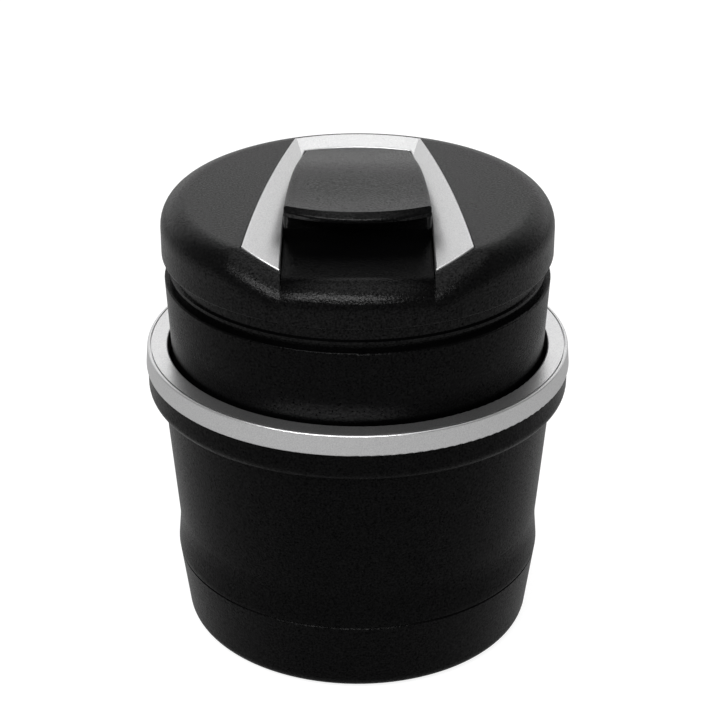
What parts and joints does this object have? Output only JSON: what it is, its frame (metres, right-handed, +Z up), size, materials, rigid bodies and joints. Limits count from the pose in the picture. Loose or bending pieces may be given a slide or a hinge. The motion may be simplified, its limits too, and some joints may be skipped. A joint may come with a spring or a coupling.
{
  "type": "car ashtray",
  "caption": "Round cup-holder ashtray: tapered black cup with a silver ring, a lift-out ash cup and a hinged lid with a thumb tab framed by a silver U.",
  "frame": {"origin": "middle of the flat underside of the outer cup", "axes": "+Z up along the cup's axis, -Y towards the front of the lid and its thumb tab, +X to the right"},
  "size_m": [0.0836, 0.0836, 0.0934],
  "materials": {
    "black_plastic": "fine satin grain",
    "silver_paint": "satin silver paint",
    "aluminium_sheet": "spun, satin",
    "bright_steel": "bright",
    "black_rubber": "matt"
  },
  "bodies": {
    "outer_body": {"outer_cup": "black_plastic", "trim_ring": "silver_paint"},
    "ash_body": {"ash_cup": "black_plastic", "ash_liner": "aluminium_sheet", "mouth_ring": "black_plastic", "cigarette_rest": "bright_steel", "rest_screws": "bright_steel", "hinge_pin": "bright_steel"},
    "lid_body": {"lid_shell": "black_plastic", "lid_trim": "silver_paint", "thumb_grip": "black_plastic", "lid_plate": "aluminium_sheet", "plate_screws": "bright_steel", "lid_seal": "black_rubber"}
  },
  "joints": [
    {"name": "ash_cup_lift", "type": "slide", "parent": "outer_body", "child": "ash_body", "axis": [0, 0, 1], "range_m": [0, 0.062]},
    {"name": "lid_hinge", "type": "hinge", "parent": "ash_body", "child": "lid_body", "pos_m": [0, 0.0394, 0.0767], "axis": [-1, 0, 0], "range_deg": [0, 100]}
  ]
}
